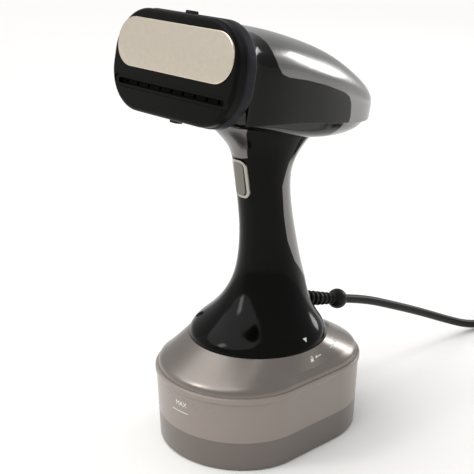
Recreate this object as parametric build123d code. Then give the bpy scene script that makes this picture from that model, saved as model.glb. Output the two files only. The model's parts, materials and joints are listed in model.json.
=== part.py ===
"""Handheld garment steamer: steam head on an upright handle, standing on its water tank.

Millimetres. +Z is up, -Y is the front (the side that steams) and +X is the right-hand side.
The origin is on the standing surface, on the axis about which the tank twists off the handle.
"""
import os
from math import cos, pi, radians, sin, sqrt, tan

from build123d import *

# ---------------------------------------------------------------- driving dimensions
# water tank
TANK_WIDTH = 110.0
TANK_FRONT = 71.0          # the front edge stands this far ahead of the twist axis
TANK_BACK = 70.5           # and the back edge this far behind it
TANK_CORNER = 47.5         # plan radius of the two back corners
TANK_NOSE = 50.0           # depth of the half ellipse that forms the front end
TANK_HEIGHT = 52.0         # floor to the top of the bead
TANK_WALL = 2.2
TANK_DRAFT = 1.8           # the wall leans in by this much from the bead to the floor
BASE_HEIGHT = 20.6         # dark lower part of the tank
BEAD_HEIGHT = 4.2
BEAD_PROUD = 0.8
SHOULDER_RISE = 18.1       # top of the bead to the top of the shoulder
#   share of the rise, step in from the wall: the rounded foot of the shoulder
SHOULDER_STEPS = ((0.0, 1.2), (0.14, 1.5), (0.25, 2.6), (0.34, 4.8))
FLOOR_THICK = 2.5
FOOT_FILLET = 2.4

# bayonet neck, from the inside out
SPIGOT_RADIUS = 23.0
SPIGOT_WALL = 2.5
LUG_REACH = 4.5
LUG_HEIGHT = 3.0
LUG_ARC = 28.0             # degrees of each lug
LUG_COUNT = 3
RING_WALL = 3.0
NECK_WALL = 2.5
NECK_DEPTH = 15.0
TURN_GAP = 0.4             # clearance between parts that turn or slide past each other

# handle
RIM_RADIUS = 46.0
RIM_GAP = 0.6              # tank shoulder to handle rim
HANDLE_RISE = 147.0        # rim to the top of the handle's flare, inside the head
HANDLE_WALL = 2.4
PLATE_THICK = 2.5
#   share of HANDLE_RISE, half width, half depth, centre behind the axis
HANDLE_SECTIONS = (
    (0.000, 46.0, 46.0, 0.0),
    (0.043, 42.8, 43.2, 0.9),
    (0.082, 37.2, 38.0, 2.8),
    (0.122, 31.8, 33.4, 5.0),
    (0.178, 26.6, 29.0, 7.6),
    (0.240, 23.0, 25.6, 9.6),
    (0.320, 20.2, 22.4, 9.9),
    (0.400, 18.2, 20.6, 9.2),
    (0.480, 17.2, 19.2, 8.0),
    (0.580, 16.8, 18.2, 6.0),
    (0.690, 16.8, 18.6, 4.1),
    (0.770, 17.2, 20.8, 4.3),
    (0.830, 18.2, 25.2, 6.6),
    (0.880, 20.0, 31.4, 9.2),
    (0.930, 22.4, 39.8, 11.2),
    (1.000, 26.0, 50.0, 13.0),
)

# head; s runs back from the face, v runs up the face
HEAD_TILT = 12.3           # degrees that the face leans back
HEAD_FORWARD = 70.8        # face centre ahead of the twist axis
HEAD_RISE = 187.0          # face centre above the handle rim
HEAD_LENGTH = 166.0
HEAD_WALL = 2.4
FACE_WIDTH = 110.0
FACE_HEIGHT = 61.4
FACE_CORNER = 27.0
FACE_DEPTH = 7.0
FACE_WALL = 2.4
FACE_THICK = 3.0
COLLAR_DEPTH = 8.0
COLLAR_PROUD = 0.6
#   share of the length behind the collar, half width, top, bottom, squareness (2 is an ellipse)
HEAD_SECTIONS = (
    (0.000, 53.2, 29.9, -30.4, 3.4),
    (0.176, 50.6, 29.4, -32.0, 3.0),
    (0.362, 46.2, 28.2, -34.2, 2.7),
    (0.560, 40.2, 24.6, -35.8, 2.5),
    (0.736, 33.6, 18.4, -34.4, 2.4),
    (0.868, 27.8, 11.2, -30.8, 2.3),
    (0.950, 22.0, 5.2, -25.8, 2.3),
    (1.000, 7.4, -4.5, -14.6, 2.0),
)
#   share of HEAD_LENGTH, height: the joint between the top cover and the lower shell, closed outside
COVER_LINE = (
    (0.0, 27.8), (0.129, 27.5), (0.164, 26.1), (0.185, 22.3), (0.198, 15.8),
    (0.217, 9.8), (0.242, 5.8), (0.282, 4.3), (0.402, 3.7), (0.534, 1.9),
    (0.679, -1.5), (0.724, -4.1), (0.748, -8.7), (0.76, -16.7), (0.751, -24.7),
    (0.715, -33.7), (0.667, -60.0), (1.386, -60.0), (1.386, 80.0), (0.0, 80.0),
)
QUARTER_STEPS = 4          # spans of the curve in each quarter of a section
LEAD_IN = 4.0              # the head's hollow starts this far ahead of its front edge
PLATE_LENGTH = 103.0
PLATE_WIDTH = 29.8
PLATE_LIFT = 9.8
PLATE_PROUD = 0.7
PLATE_SEAT = 1.2
SLOT_LENGTH = 95.0
SLOT_WIDTH = 3.5
SLOT_DROP = 14.5
STEAM_HOLES = 9
STEAM_HOLE_RADIUS = 1.2
PIPE_RADIUS = 3.0
CLIP_WIDTH = 7.0
CLIP_DEPTH = 4.0
CLIP_PROUD = 1.6

# boiler
BOILER_LENGTH = 50.0
BOILER_WIDTH = 78.0
BOILER_HEIGHT = 30.0
BOILER_START = 19.0
BOILER_WALL = 5.0
LID_THICK = 4.0
GASKET_THICK = 1.0
ELEMENT_RADIUS = 3.3
ELEMENT_SPREAD = 26.0

# trigger
TRIGGER_TOP = 119.2        # top of the trigger above the rim
TRIGGER_LENGTH = 21.6
TRIGGER_WIDTH = 8.2
TRIGGER_GAP = 0.4
BEZEL_RIM = 1.7
BEZEL_PROUD = 1.0
TRIGGER_PROUD = 1.3
TRIGGER_REST = 3.0         # degrees that the foot of the trigger stands out at rest
PIN_RADIUS = 1.25
PIN_DROP = 2.6             # pin below the top of the trigger
PIN_DEPTH = 4.6            # pin behind the handle's front surface
PIN_CLEAR = 0.05
SWITCH_DROP = 15.0         # plunger below the pin
PLUNGER_RADIUS = 1.5
PLUNGER_REACH = 3.2

# pump
PUMP_RADIUS = 7.0
PUMP_BORE = 4.2
PUMP_CLEAR = 0.08
PUMP_LENGTH = 52.0
COIL_RADIUS = 10.5
COIL_LENGTH = 18.0
PISTON_LENGTH = 20.0
HOSE_RADIUS = 3.1
HOSE_BORE = 1.7

# supply cord
CORD_RADIUS = 3.2
RELIEF_DROP = 16.2         # degrees below the horizontal
RELIEF_RADIUS = 6.0
RELIEF_TIP = 4.4
RELIEF_LENGTH = 40.0
RELIEF_BALL = 7.2
RELIEF_RIBS = 6
FLANGE_REACH = 2.0
RELIEF_HEIGHT = 11.4       # strain relief above the rim, at the back wall
COIL_MID_RADIUS = 35.0
COIL_TURNS_ACROSS = 3      # turns side by side, and as many layers
COIL_CENTRE = (26.0, 318.0)
COIL_ENTRY = -60.0         # degrees round the coil where the lead joins it
COIL_LEAVE = 75.0          # and where the tail leaves it
PLUG_LENGTH = 38.0
PLUG_WIDTH = 26.0
PLUG_THICK = 18.0
PLUG_HEADING = 155.0       # degrees, the way that the pins point
BLADE_LENGTH = 17.0
BLADE_WIDTH = 6.4
BLADE_THICK = 1.6
BLADE_PITCH = 12.7

FIT = 0.15                 # clearance between parts that are pressed or clipped together
FAR = 400.0                # longer than any part, for cutting tools

# ---------------------------------------------------------------- levels that follow
SHOULDER_Z = TANK_HEIGHT + SHOULDER_RISE
RIM_Z = SHOULDER_Z + RIM_GAP
FACE = Vector(0, -HEAD_FORWARD, RIM_Z + HEAD_RISE)
BACKWARD = Vector(0, cos(radians(HEAD_TILT)), -sin(radians(HEAD_TILT)))
FACEWARD_PLANE = Plane(origin=FACE, x_dir=(1, 0, 0), z_dir=-BACKWARD)
UPWARD = FACEWARD_PLANE.y_dir
BODY_START = FACE_DEPTH + COLLAR_DEPTH

parts = {}


def add(name, shape):
    """Keeps a finished piece under its node name."""
    parts[name] = shape
    return shape


def at_head(s):
    """Plane across the head, s behind the face, with its normal towards the front."""
    return Plane(origin=FACE + BACKWARD * s, x_dir=(1, 0, 0), z_dir=-BACKWARD)


def slab(outline, start, end):
    """A plate across the head, from one depth behind the face to another."""
    return extrude(at_head(end) * outline, amount=end - start)


def cylinder_between(a, b, radius):
    """A round bar from point a to point b."""
    a, b = Vector(*a), Vector(*b)
    plane = Plane(origin=a, z_dir=(b - a).normalized())
    return extrude(plane * Circle(radius), amount=(b - a).length)


def ring(outer, inner, z0, z1):
    """An upright ring on the twist axis."""
    return Pos(0, 0, z0) * extrude(Circle(outer) - Circle(inner), amount=z1 - z0)


def disc(radius, z0, z1, x=0.0, y=0.0):
    """An upright disc or rod."""
    return Pos(x, y, z0) * extrude(Circle(radius), amount=z1 - z0)


def side_prism(points, x0=-FAR, x1=FAR):
    """A prism along X whose outline is drawn in the side view as (y, z)."""
    outline = make_face(Polyline(*[(0, y, z) for y, z in points], close=True))
    prism = extrude(outline, amount=x1 - x0, dir=(1, 0, 0))
    return Pos(x0, 0, 0) * prism


def front_prism(width, height, corner, z_mid, y0, y1):
    """A prism along Y with a rounded-rectangle outline in the front view."""
    plane = Plane(origin=(0, y1, z_mid), x_dir=(1, 0, 0), z_dir=(0, -1, 0))
    return extrude(plane * RectangleRounded(width, height, corner), amount=y1 - y0)


# ---------------------------------------------------------------- outer forms
def handle_form(inset=0.0):
    """The handle as a solid, its surface moved in by inset."""
    faces = []
    for share, half_x, half_y, y in HANDLE_SECTIONS:
        z = RIM_Z + share * HANDLE_RISE
        faces.append(Pos(0, y, z) * Ellipse(half_x - inset, half_y - inset + 1e-3))
    return loft(faces)


def handle_at(z):
    """Half width, half depth and centre of the handle at a height."""
    share = (z - RIM_Z) / HANDLE_RISE
    for low, high in zip(HANDLE_SECTIONS, HANDLE_SECTIONS[1:]):
        if share <= high[0]:
            t = (share - low[0]) / (high[0] - low[0])
            return [a + t * (b - a) for a, b in zip(low[1:], high[1:])]
    return list(HANDLE_SECTIONS[-1][1:])


def handle_front(z):
    """Where the front of the handle is at a height."""
    _, half_y, y = handle_at(z)
    return y - half_y


def power(value, exponent):
    """A signed power, for rounding an ellipse towards a rectangle."""
    return abs(value) ** exponent * (1 if value >= 0 else -1)


def rounded_section(width, half, middle, square):
    """A section between an ellipse and a rectangle: an upper and a lower curve that meet at the sides."""
    edges = []
    for side in (1, -1):
        points = []
        for k in range(2 * QUARTER_STEPS + 1):
            a = pi / 2 * k / QUARTER_STEPS
            points.append((side * width * power(cos(a), 2 / square),
                           middle + side * half * power(sin(a), 2 / square)))
        edges.append(Spline(*points, tangents=[(0, side), (0, -side)]))
    return make_face(edges)


def head_form(inset=0.0):
    """The head behind its collar as a solid, its surface moved in by inset."""
    faces = []
    for share, half_x, top, bottom, square in HEAD_SECTIONS:
        s = BODY_START + share * (HEAD_LENGTH - BODY_START) - inset * share ** 6
        if inset and not faces:
            s -= LEAD_IN
        half = (top - bottom) / 2 - inset
        width = half_x - inset
        if min(half, width) < 1.2:
            continue
        faces.append(at_head(s) * rounded_section(width, half, (top + bottom) / 2, square))
    return loft(faces)


def tank_outline(inset):
    """Plan of the tank, moved in by inset: straight sides, half-ellipse front, two back corners."""
    half = TANK_WIDTH / 2 - inset
    nose_y = TANK_NOSE - TANK_FRONT
    nose = TANK_NOSE - inset
    back = TANK_BACK - inset
    corner = TANK_CORNER - inset
    y_turn = back - corner
    x_turn = half - corner
    edges = [
        Line((half, nose_y), (half, y_turn)),
        CenterArc((x_turn, y_turn), corner, 0, 90),
        Line((x_turn, back), (-x_turn, back)),
        CenterArc((-x_turn, y_turn), corner, 90, 90),
        Line((-half, y_turn), (-half, nose_y)),
        EllipticalCenterArc((0, nose_y), half, nose, 180, arc_size=180),
    ]
    return make_face(edges)


def shoulder_circle(radius):
    """A circle cut into six arcs that answer the six edges of the tank's outline."""
    cuts = (-22, 22, 82, 98, 158, 202, 338)
    arcs = [CenterArc((0, 0), radius, a, b - a) for a, b in zip(cuts, cuts[1:])]
    return make_face(arcs)


def tank_solid(inset, z0, z1):
    """The tank's tapered wall as a solid between two heights."""
    top = TANK_HEIGHT - BEAD_HEIGHT
    lean = lambda z: TANK_DRAFT * (1 - z / top)
    low = Pos(0, 0, z0) * tank_outline(inset + lean(z0))
    high = Pos(0, 0, z1) * tank_outline(inset + lean(z1))
    return loft([low, high], ruled=True)


def shoulder_solid(inset, drop):
    """The shoulder as a solid: rounded at its foot, then rising to the round neck."""
    rise = SHOULDER_RISE
    faces = [Pos(0, 0, TANK_HEIGHT + share * rise - drop) * tank_outline(inset + step)
             for share, step in SHOULDER_STEPS]
    faces.append(Pos(0, 0, SHOULDER_Z - drop) * shoulder_circle(RIM_RADIUS + 0.6 - inset))
    return loft(faces, ruled=True)


# ---------------------------------------------------------------- tank
def make_tank():
    """Base, wall and shoulder of the tank, and its neck."""
    wall_top = TANK_HEIGHT - BEAD_HEIGHT
    base = tank_solid(0, 0, BASE_HEIGHT)
    base = fillet(base.faces().sort_by(Axis.Z)[0].edges(), FOOT_FILLET)
    base -= tank_solid(TANK_WALL, FLOOR_THICK, BASE_HEIGHT)
    add("tank_base", base)

    body = tank_solid(0, BASE_HEIGHT, wall_top) - tank_solid(TANK_WALL, BASE_HEIGHT, wall_top)
    bead = Pos(0, 0, wall_top) * extrude(tank_outline(-BEAD_PROUD), amount=BEAD_HEIGHT)
    bead = fillet(bead.edges().filter_by(Plane.XY), 1.2)
    bead -= Pos(0, 0, wall_top) * extrude(tank_outline(TANK_WALL), amount=BEAD_HEIGHT)
    add("tank_body", body + bead)

    neck_inner = SPIGOT_RADIUS + LUG_REACH + TURN_GAP + RING_WALL + TURN_GAP
    neck_outer = neck_inner + NECK_WALL
    top = shoulder_solid(0, 0) - shoulder_solid(TANK_WALL, TANK_WALL)
    top += disc(RIM_RADIUS, SHOULDER_Z - TANK_WALL, SHOULDER_Z)
    top += disc(neck_outer, SHOULDER_Z - NECK_DEPTH, SHOULDER_Z)
    top -= disc(neck_inner, SHOULDER_Z - NECK_DEPTH - 1, SHOULDER_Z + 1)
    add("tank_top", top)
    return neck_inner


def lugs(inner, outer, z0, z1):
    """The bayonet lugs, evenly spaced."""
    shape = None
    for k in range(LUG_COUNT):
        a0 = 360 / LUG_COUNT * k - LUG_ARC / 2 - 90
        a1 = radians(a0 + LUG_ARC)
        a0r = radians(a0)
        far = 3 * outer
        wedge = make_face(Polyline((0, 0), (far * cos(a0r), far * sin(a0r)),
                                   (far * cos(a1), far * sin(a1)), close=True))
        lug = ring(outer, inner, z0, z1) & (Pos(0, 0, z0) * extrude(wedge, amount=z1 - z0))
        shape = lug if shape is None else shape + lug
    return shape


def make_neck(neck_inner):
    """The handle's base plug with its lugs, the bayonet ring, the seal and the pick-up tube."""
    plate_radius = RIM_RADIUS - HANDLE_WALL - 2.2
    spigot_foot = SHOULDER_Z - NECK_DEPTH + 0.6
    lug_z = spigot_foot + 5.0
    plug = disc(plate_radius, RIM_Z, RIM_Z + PLATE_THICK)
    plug += disc(SPIGOT_RADIUS, spigot_foot, RIM_Z)
    plug -= disc(SPIGOT_RADIUS - SPIGOT_WALL, spigot_foot + SPIGOT_WALL, RIM_Z - 0.6)
    plug += disc(HOSE_BORE + 1.2, spigot_foot + SPIGOT_WALL, RIM_Z + PLATE_THICK + 4)
    plug += lugs(SPIGOT_RADIUS - 0.2, SPIGOT_RADIUS + LUG_REACH, lug_z, lug_z + LUG_HEIGHT)
    plug -= disc(HOSE_BORE - 0.4, spigot_foot - 1, RIM_Z + PLATE_THICK + 5)
    plug -= disc(HOSE_RADIUS, spigot_foot - 1, spigot_foot + 1.8)
    add("base_plug", plug)

    bore = SPIGOT_RADIUS + LUG_REACH + TURN_GAP
    outer = bore + RING_WALL
    lock = ring(outer, bore, spigot_foot + 3.0, SHOULDER_Z)
    lock_lug_z = lug_z + LUG_HEIGHT + TURN_GAP
    lock += lugs(SPIGOT_RADIUS + TURN_GAP, bore + 0.2, lock_lug_z, lock_lug_z + LUG_HEIGHT)
    add("lock_ring", lock)

    seal_z = spigot_foot + 0.6
    groove = SPIGOT_RADIUS
    seal = ring(groove + 1.6, groove, seal_z, seal_z + 2.4)
    outer_edges = [e for e in seal.edges() if e.geom_type == GeomType.CIRCLE and e.radius > groove + 1]
    add("neck_seal", fillet(outer_edges, 0.7))

    tube_top = spigot_foot + 1.8
    weight_z = FLOOR_THICK + 2.5
    weight_top = weight_z + 10.0
    tube = disc(HOSE_RADIUS, weight_top - 3, tube_top)
    add("suction_tube", tube - disc(HOSE_BORE, weight_top - 4, tube_top + 1))
    weight = disc(7.0, weight_z, weight_top)
    weight = fillet(weight.edges(), 1.0)
    weight -= disc(HOSE_RADIUS, weight_top - 3, weight_top + 1)
    weight -= disc(HOSE_BORE, weight_z - 1, weight_top)
    for k in range(6):
        a = radians(60 * k)
        weight -= cylinder_between((0, 0, weight_z + 3.5), (9 * cos(a), 9 * sin(a), weight_z + 3.5), 0.9)
    add("filter_weight", weight)


# ---------------------------------------------------------------- handle
def relief_frame():
    """Start and direction of the strain relief, at the back wall of the handle."""
    z = RIM_Z + RELIEF_HEIGHT
    _, half_y, y = handle_at(z)
    direction = Vector(0, cos(radians(RELIEF_DROP)), -sin(radians(RELIEF_DROP)))
    return Vector(0, y + half_y - HANDLE_WALL, z), direction


def side_cut_lines():
    """Side-view outlines that divide the handle's shell: grey strip, cord panel, grey chin."""
    def z(share):
        return RIM_Z + share * HANDLE_RISE

    def back(share, part):
        _, half_y, y = handle_at(z(share))
        return y + part * half_y

    line = [(back(0.21, 0.84), z(0.21)), (back(0.27, 0.55), z(0.27)), (back(0.34, 0.25), z(0.34)),
            (back(0.44, 0.06), z(0.44)), (back(0.56, 0.02), z(0.56)), (back(0.70, 0.04), z(0.70)),
            (back(0.80, 0.22), z(0.80)), (back(0.88, 0.45), z(0.88)), (back(0.94, 0.60), z(0.94)),
            (back(1.0, 0.70), z(1.02))]
    strip = line + [(FAR, z(1.02)), (FAR, z(0.21))]
    panel = [(back(0.0, 0.73), z(0) - 1), (back(0.1, 0.80), z(0.1)), line[0],
             (FAR, z(0.21)), (FAR, z(0) - 1)]
    chin = [(handle_front(z(0.825)) - 2, z(0.826)), (handle_front(z(0.84)) + 2.5, z(0.84)),
            (handle_front(z(0.90)) + 5, z(0.90)), (handle_front(z(0.96)) + 8, z(0.96)),
            (handle_front(z(1.0)) + 12, z(1.0)), (handle_front(z(1.0)) + 14, z(1.02)),
            (-FAR, z(1.02)), (-FAR, z(0.826))]
    return side_prism(strip), side_prism(panel), side_prism(chin)


def make_handle(head_outer):
    """The handle's shells, strip, chin, cord panel and screws."""
    inner = handle_form(HANDLE_WALL)
    shell = handle_form() - inner - head_outer

    mid_z = RIM_Z + TRIGGER_TOP - TRIGGER_LENGTH / 2
    hole_w = TRIGGER_WIDTH + 2 * TRIGGER_GAP
    hole_h = TRIGGER_LENGTH + 2 * TRIGGER_GAP
    bezel_w, bezel_h = hole_w + 2 * BEZEL_RIM, hole_h + 2 * BEZEL_RIM
    y_back = handle_front(mid_z) + 9.0
    window = front_prism(bezel_w, bezel_h, 4.4, mid_z, -FAR, y_back)
    opening = front_prism(hole_w, hole_h, 3.0, mid_z, -FAR, y_back + 20)
    bezel = (handle_form(-BEZEL_PROUD) - inner) & window
    bezel -= opening

    start, direction = relief_frame()
    cord_hole = cylinder_between(start, start + direction * 30, RELIEF_RADIUS + FIT)
    cord_hole += cylinder_between(start - direction * 20, start, RELIEF_RADIUS + FLANGE_REACH + FIT)
    shell = shell - window - cord_hole

    strip_zone, panel_zone, chin_zone = side_cut_lines()
    add("rear_strip", shell & strip_zone)
    add("cord_exit_panel", (shell & panel_zone) - strip_zone)
    add("chin_panel", shell & chin_zone)
    sides = shell - strip_zone - panel_zone - chin_zone

    screw_places = ((-26.0, RIM_Z + 9.0), (27.2, RIM_Z + 25.0),
                    (handle_front(RIM_Z + 74) + HANDLE_WALL + 3.2, RIM_Z + 74.0))
    boss_radius, shank, head_radius = 3.2, 1.3, 2.5
    screws = []
    left_boss, right_boss, holes, pilots = None, None, None, None
    for y, z in screw_places:
        reach = sqrt(max(1, 1 - ((y - handle_at(z)[2]) / handle_at(z)[1]) ** 2)) * handle_at(z)[0]
        left = cylinder_between((-reach - 4, y, z), (-FIT / 2, y, z), boss_radius) & inner
        right = cylinder_between((FIT / 2, y, z), (reach + 4, y, z), boss_radius) & inner
        left_boss = left if left_boss is None else left_boss + left
        right_boss = right if right_boss is None else right_boss + right
        seat = -7.0
        bore = cylinder_between((-FAR, y, z), (seat, y, z), head_radius + FIT)
        bore += cylinder_between((seat - 1, y, z), (1, y, z), shank + FIT)
        holes = bore if holes is None else holes + bore
        pilot = cylinder_between((-1, y, z), (8.0, y, z), shank)
        pilots = pilot if pilots is None else pilots + pilot
        screw = cylinder_between((seat - 2, y, z), (seat, y, z), head_radius)
        screw += cylinder_between((seat - 0.1, y, z), (7.5, y, z), shank)
        screw -= Pos(seat - 2, y, z) * Box(1.6, 3.6, 0.7)
        screws.append(screw)
    left_half = Pos(-FAR / 2, 0, 0) * Box(FAR, FAR, 2 * FAR)
    right_half = Pos(FAR / 2, 0, 0) * Box(FAR, FAR, 2 * FAR)
    add("handle_shell_left", ((sides & left_half) + left_boss) - holes)
    add("handle_shell_right", ((sides & right_half) + right_boss) - pilots)
    add("case_screws", Compound(screws))
    return bezel, window, mid_z


def make_trigger(bezel, window, mid_z):
    """The trigger, its pin, bezel, spring and the switch that it works."""
    pin_z = RIM_Z + TRIGGER_TOP - PIN_DROP
    pin_y = handle_front(pin_z) + PIN_DEPTH
    half = (TRIGGER_WIDTH + 2 * TRIGGER_GAP) / 2
    ear = None
    for side in (-1, 1):
        a = cylinder_between((side * half, pin_y, pin_z), (side * (half + BEZEL_RIM), pin_y, pin_z), 3.0)
        web = Pos(side * (half + BEZEL_RIM / 2), (pin_y + handle_front(pin_z)) / 2 + 1, pin_z) * Box(
            BEZEL_RIM, PIN_DEPTH - 1, 6.0)
        ear = a + web if ear is None else ear + a + web
    pin_half = half + BEZEL_RIM - 0.3
    pin = cylinder_between((-pin_half, pin_y, pin_z), (pin_half, pin_y, pin_z), PIN_RADIUS)
    add("trigger_bezel", bezel + (ear & window) - pin)
    add("trigger_pin", pin)

    plate = (handle_form(-TRIGGER_PROUD) - handle_form(1.0)) & front_prism(
        TRIGGER_WIDTH, TRIGGER_LENGTH, 2.6, mid_z, -FAR, pin_y)
    hub_half = TRIGGER_WIDTH / 2 - 0.3
    hub = cylinder_between((-hub_half, pin_y, pin_z), (hub_half, pin_y, pin_z), 2.8)
    web_y0, web_y1 = handle_front(pin_z) + 0.2, pin_y
    web = Pos(0, (web_y0 + web_y1) / 2, pin_z - 0.4) * Box(2 * hub_half, web_y1 - web_y0, 4.0)
    plunger_z = pin_z - SWITCH_DROP
    tip_y = handle_front(plunger_z) + 8.0
    finger_y0 = handle_front(plunger_z) + 0.2
    finger = Pos(0, (finger_y0 + tip_y - 1.2) / 2, plunger_z) * Box(4.0, tip_y - 1.2 - finger_y0, 2.4)
    finger += cylinder_between((-2, tip_y - 1.2, plunger_z), (2, tip_y - 1.2, plunger_z), 1.2)
    body = plate + hub + web
    lean = Pos(0, pin_y, pin_z) * Rot(-TRIGGER_REST, 0, 0) * Pos(0, -pin_y, -pin_z)
    body = lean * body
    trigger = body + finger
    trigger -= cylinder_between((-FAR, pin_y, pin_z), (FAR, pin_y, pin_z), PIN_RADIUS + PIN_CLEAR)
    add("trigger", trigger)

    plunger_tip = tip_y + 0.35
    face_y = plunger_tip + PLUNGER_REACH
    depth, width, height = 10.0, 9.0, 20.0
    switch = Pos(0, face_y + depth / 2, plunger_z + 1) * Box(width, depth, height)
    switch = fillet(switch.edges().filter_by(Axis.X), 0.8)
    switch -= cylinder_between((0, face_y - 1, plunger_z), (0, face_y + 6, plunger_z),
                               PLUNGER_RADIUS + PIN_CLEAR)
    for dz in (-7, -1, 5):
        blade = Pos(0, face_y + depth + 2.5, plunger_z + dz + 1) * Box(3.0, 5.0, 0.8)
        switch += blade
    add("switch_body", switch)
    add("switch_plunger", cylinder_between((0, plunger_tip, plunger_z), (0, face_y + 3.4, plunger_z),
                                           PLUNGER_RADIUS))

    spring_z = plunger_z + 5.5
    spring_y0 = handle_front(spring_z) + 1.1
    spring_y1 = face_y - 0.3
    turns = 5
    path = Helix(pitch=(spring_y1 - spring_y0) / turns, height=spring_y1 - spring_y0, radius=1.6)
    wire = Plane(origin=path @ 0, z_dir=path % 0) * Circle(0.3)
    coil = sweep(wire, path=path)
    add("trigger_spring", Pos(0, spring_y0, spring_z) * Rot(-90, 0, 0) * coil)
    return face_y + depth + 5


# ---------------------------------------------------------------- pump, hoses and wiring
def make_pump(behind_switch):
    """The vibration pump in the flare, its hoses and the wiring up the grip."""
    foot = RIM_Z + PLATE_THICK + 5.0
    top = foot + PUMP_LENGTH
    body = disc(PUMP_RADIUS, foot + 4, top)
    body += disc(HOSE_BORE + 0.9, foot, foot + 4)
    body += disc(HOSE_BORE + 0.9, top, top + 6)
    body -= disc(PUMP_BORE, foot + 8, top - 2)
    body -= disc(HOSE_BORE - 0.5, foot - 1, top + 7)
    add("pump_body", body)

    coil_z = foot + 8
    add("pump_coil", ring(COIL_RADIUS, PUMP_RADIUS, coil_z, coil_z + COIL_LENGTH))
    yoke = Pos(0, 0, coil_z + COIL_LENGTH / 2) * Box(2 * COIL_RADIUS + 3, 14, COIL_LENGTH + 4)
    yoke -= Pos(0, 0, coil_z + COIL_LENGTH / 2) * Box(2 * COIL_RADIUS, 40, COIL_LENGTH)
    yoke -= disc(PUMP_RADIUS, foot, top)
    add("pump_yoke", yoke)

    piston_z = foot + 20
    add("pump_piston", disc(PUMP_BORE - PUMP_CLEAR, piston_z, piston_z + PISTON_LENGTH)
        - disc(HOSE_BORE - 0.5, piston_z - 1, piston_z + PISTON_LENGTH + 1))
    spring_z0, spring_z1 = piston_z + PISTON_LENGTH + 0.5, top - 2.5
    spring_height = spring_z1 - spring_z0
    path = Helix(pitch=spring_height / 5, height=spring_height, radius=3.0)
    wire = Plane(origin=path @ 0, z_dir=path % 0) * Circle(0.35)
    add("pump_spring", Pos(0, 0, spring_z0) * sweep(wire, path=path))

    inlet_z0, inlet_z1 = RIM_Z + PLATE_THICK + 0.5, foot + 3.5
    sleeve = disc(HOSE_RADIUS + 1.2, inlet_z0, inlet_z1)
    sleeve -= disc(HOSE_BORE + 0.9, foot - 0.5, inlet_z1 + 1)
    sleeve -= disc(HOSE_BORE + 1.2, inlet_z0 - 1, foot - 0.5)
    add("inlet_hose", sleeve)

    hose_y = behind_switch + HOSE_RADIUS + 1.6
    tail_z = RIM_Z + HANDLE_RISE - 2
    points = [(0, 0, top + 6.3), (0, 0.6, top + 18), (0, hose_y - 1, top + 34), (0, hose_y, tail_z - 26),
              (0, hose_y + 1.5, tail_z)]
    path = FilletPolyline(*points, radius=9)
    outer = sweep(Plane(origin=path @ 0, z_dir=path % 0) * Circle(HOSE_RADIUS), path=path)
    bore = sweep(Plane(origin=path @ 0, z_dir=path % 0) * Circle(HOSE_BORE), path=path)
    add("outlet_hose", outer - bore)

    wires = []
    for side in (-1, 1):
        x = 9.0 * side
        points = [(x * 0.4, 24.2, RIM_Z + 17), (x, 17.5, RIM_Z + 34), (x, 13, RIM_Z + 62), (x, 9, RIM_Z + 100),
                  (x, 12, RIM_Z + 140)]
        path = FilletPolyline(*points, radius=12)
        wires.append(sweep(Plane(origin=path @ 0, z_dir=path % 0) * Circle(1.2), path=path))
    add("wiring", Compound(wires))


def make_cord_fittings():
    """Strain relief, clamp and terminal block inside the back of the flare."""
    start, direction = relief_frame()
    plane = Plane(origin=start, x_dir=(1, 0, 0), z_dir=direction)
    relief = plane * extrude(Circle(RELIEF_RADIUS + FLANGE_REACH), amount=-2.0)
    profile_end = HANDLE_WALL + RELIEF_LENGTH
    cone = loft([plane * Circle(RELIEF_RADIUS), plane.offset(profile_end) * Circle(RELIEF_TIP)])
    relief += cone
    pitch = (RELIEF_LENGTH - 8.0) / RELIEF_RIBS
    for k in range(RELIEF_RIBS):
        depth = HANDLE_WALL + 3.4 + k * pitch
        radius = RELIEF_RADIUS - (RELIEF_RADIUS - RELIEF_TIP) * depth / profile_end
        groove = plane.offset(depth) * extrude(Circle(radius + 1) - Circle(radius - 1.2), amount=1.8)
        relief -= groove
    ball = Pos(*(start + direction * profile_end)) * Sphere(RELIEF_BALL)
    relief += ball
    tip = profile_end + sqrt(RELIEF_BALL ** 2 - (CORD_RADIUS + 0.4) ** 2)
    relief -= plane.offset(tip) * extrude(Circle(RELIEF_BALL), amount=RELIEF_BALL)
    add("strain_relief", relief)

    block_y = start.Y - 12
    block = Pos(0, block_y - 8, RIM_Z + 11) * Box(20, 8, 12)
    for x in (-6, 0, 6):
        block -= cylinder_between((x, block_y - 20, RIM_Z + 13), (x, block_y, RIM_Z + 13), 1.8)
    add("terminal_block", block)
    clamp = Pos(0, block_y, RIM_Z + 5.5) * Box(22, 6, 5)
    clamp -= cylinder_between((0, block_y - 5, RIM_Z + 9), (0, block_y + 5, RIM_Z + 9), CORD_RADIUS)
    for x in (-8, 8):
        clamp += disc(2.2, RIM_Z + 8, RIM_Z + 9.4, x, block_y)
    add("cord_clamp", clamp)
    return start + direction * tip, direction


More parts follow.
